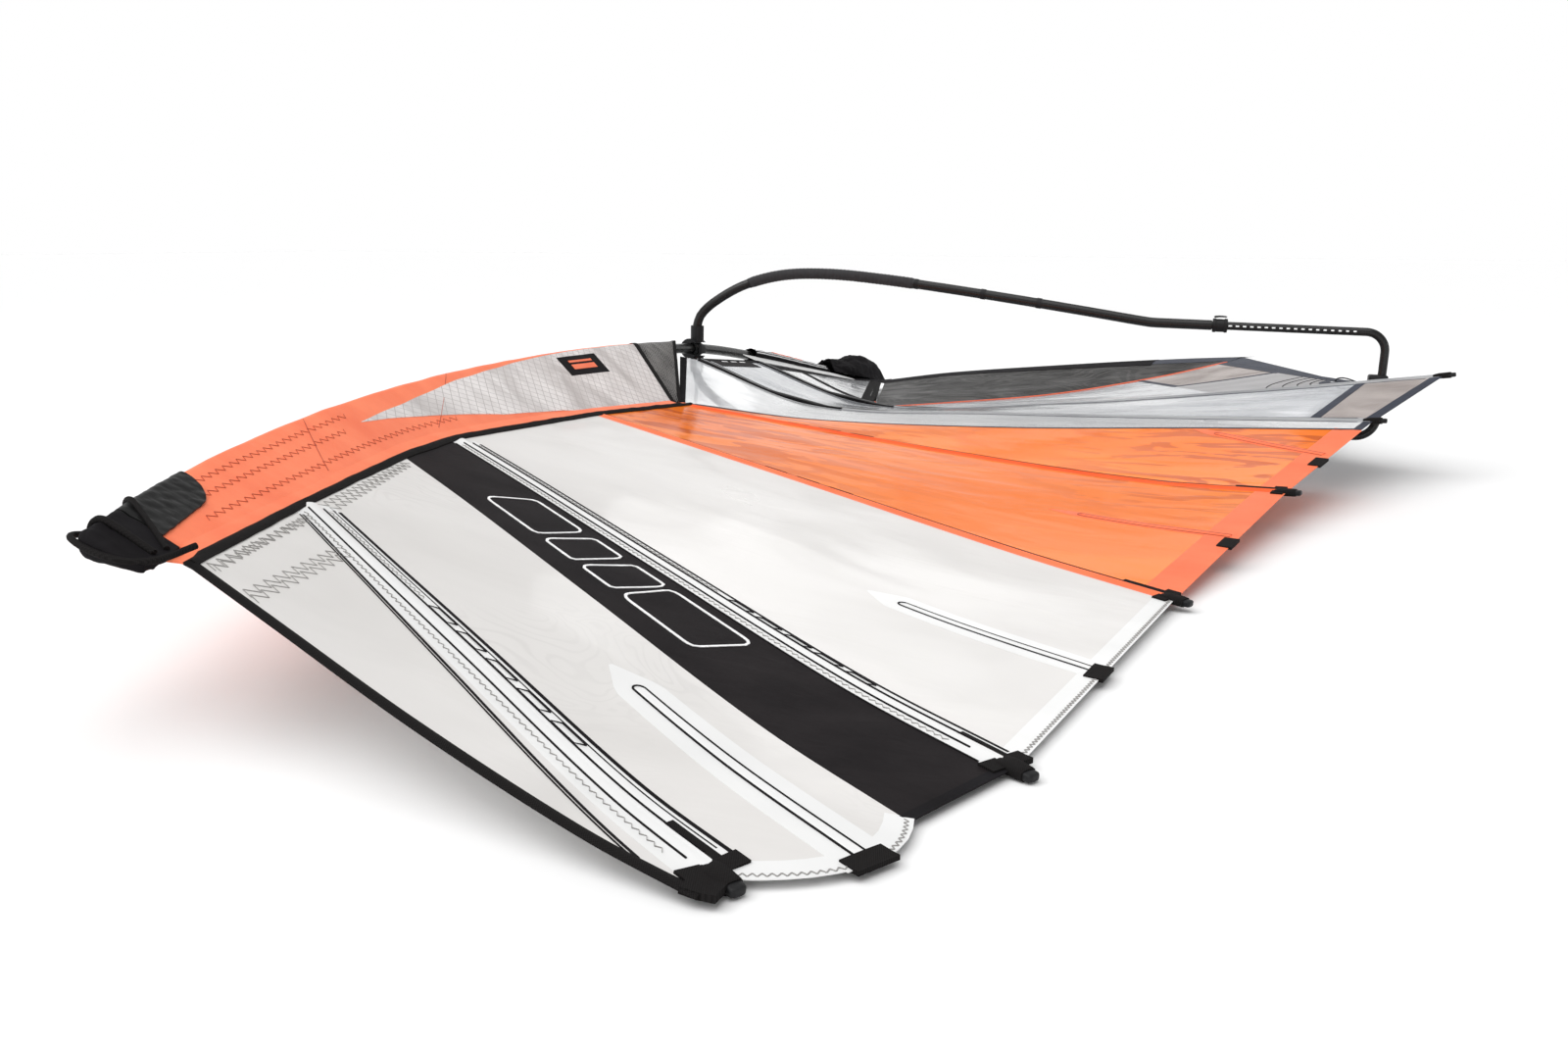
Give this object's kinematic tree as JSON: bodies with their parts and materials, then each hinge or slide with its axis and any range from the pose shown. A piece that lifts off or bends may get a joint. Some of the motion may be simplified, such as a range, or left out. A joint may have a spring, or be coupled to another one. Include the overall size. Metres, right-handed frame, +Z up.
{
  "type": "rigged windsurf sail",
  "caption": "Rigged sail for wind sport on water: bent mast in a luff sleeve, battened film panels, wishbone boom with telescoping tail, and a mast foot with downhaul.",
  "frame": {"origin": "centre of the mast foot's end face, where it meets the board's joint", "axes": "+Z up with the rig lying on flat ground, -Y along the mast from foot to head, +X from the mast towards the leech and clew, metres"},
  "size_m": [2.293, 4.3088, 0.5489],
  "materials": {
    "white_film": "translucent white sailcloth laminate",
    "clear_film": "clear glossy window film with a fine grid of yarns",
    "orange_film": "translucent amber orange film, glossy",
    "orange_cloth": "coral orange woven sleeve cloth",
    "black_cloth": "black woven reinforcement cloth",
    "slate_cloth": "dark slate grid laminate",
    "scrim_cloth": "grey brown open scrim",
    "carbon": "gloss black carbon tube",
    "batten": "black glass fibre rod",
    "black_plastic": "moulded black nylon",
    "grip_foam": "black ribbed grip foam",
    "aluminium": "anodised tube",
    "steel": "stainless steel",
    "line": "black braided line"
  },
  "bodies": {
    "rig": {"batten_1": "batten", "batten_1_tensioner": "black_plastic", "batten_2": "batten", "batten_2_tensioner": "black_plastic", "batten_3": "batten", "batten_3_tensioner": "black_plastic", "batten_4": "batten", "batten_4_tensioner": "black_plastic", "batten_5": "batten", "batten_5_tensioner": "black_plastic", "batten_6": "batten", "batten_6_tensioner": "black_plastic", "boom_arm_lower": "carbon", "boom_arm_upper": "carbon", "boom_grip_lower": "grip_foam", "boom_grip_upper": "grip_foam", "boom_head": "black_plastic", "clew_patch": "slate_cloth", "clew_ring": "steel", "downhaul_line": "line", "extension_collar": "black_plastic", "foot_band": "black_cloth", "foot_mesh_panel": "scrim_cloth", "foot_scrim_panel": "black_cloth", "front_window_panel": "clear_film", "head_cap": "black_cloth", "head_panel": "white_film", "leech_scrim_panel": "scrim_cloth", "lower_sleeve": "black_cloth", "lower_window_panel": "clear_film", "luff_sleeve": "orange_cloth", "luff_tape": "black_cloth", "mast_bottom": "carbon", "mast_top": "carbon", "middle_film_panel": "white_film", "orange_panel_lower": "orange_film", "orange_panel_upper": "orange_film", "outhaul_line": "line", "sleeve_cutout_edge": "slate_cloth", "stripe_panel": "black_cloth", "tack_cover": "black_cloth", "tack_panel": "clear_film", "tack_pulley": "black_plastic", "tail_collar_lower": "black_plastic", "tail_collar_upper": "black_plastic", "upper_film_panel": "white_film", "window_panel": "clear_film"},
    "clamp_strap": {"clamp_strap": "black_plastic"},
    "clamp_lever": {"clamp_lever": "black_plastic"},
    "boom_tail": {"boom_tail": "carbon", "tail_fitting": "black_plastic", "outhaul_roller_pin": "steel"},
    "outhaul_roller": {"outhaul_roller": "black_plastic"},
    "tail_lever_upper": {"tail_lever_upper": "black_plastic"},
    "tail_lever_lower": {"tail_lever_lower": "black_plastic"},
    "extension": {"mast_extension": "aluminium", "mast_foot": "black_plastic", "sheave_axle": "steel"},
    "sheave_left": {"downhaul_sheave_left": "black_plastic"},
    "sheave_right": {"downhaul_sheave_right": "black_plastic"}
  },
  "joints": [
    {"name": "clamp_strap_hinge", "type": "hinge", "parent": "rig", "child": "clamp_strap", "pos_m": [-0.02873, -1.47614, 0.2601], "axis": [0.0137, 0.0882, 0.996], "range_deg": [0, 100]},
    {"name": "clamp_lever_hinge", "type": "hinge", "parent": "clamp_strap", "child": "clamp_lever", "pos_m": [-0.01952, -1.51999, 0.26386], "axis": [-0.0137, -0.0882, -0.996], "range_deg": [0, 90]},
    {"name": "tail_slide", "type": "slide", "parent": "rig", "child": "boom_tail", "axis": [0.9894, 0.143, -0.0262], "range_m": [0, 0.12]},
    {"name": "outhaul_roller_spin", "type": "hinge", "parent": "boom_tail", "child": "outhaul_roller", "pos_m": [1.98612, -1.20562, 0.20854], "axis": [0.0259, 0.0037, 0.9997], "continuous": true},
    {"name": "tail_lever_upper_hinge", "type": "hinge", "parent": "rig", "child": "tail_lever_upper", "pos_m": [1.55039, -1.26862, 0.39514], "axis": [0.1431, -0.9897, 0], "range_deg": [0, 90]},
    {"name": "tail_lever_lower_hinge", "type": "hinge", "parent": "rig", "child": "tail_lever_lower", "pos_m": [1.54131, -1.26993, 0.04527], "axis": [-0.1431, 0.9897, 0], "range_deg": [0, 90]},
    {"name": "extension_slide", "type": "slide", "parent": "rig", "child": "extension", "axis": [0.049, 0.9794, -0.1959], "range_m": [0, 0.16]},
    {"name": "sheave_left_spin", "type": "hinge", "parent": "extension", "child": "sheave_left", "pos_m": [0.0274, -0.03279, 0.00627], "axis": [-0.9988, 0.0499, 0], "continuous": true},
    {"name": "sheave_right_spin", "type": "hinge", "parent": "extension", "child": "sheave_right", "pos_m": [-0.03053, -0.02989, 0.00627], "axis": [-0.9988, 0.0499, 0], "continuous": true}
  ]
}
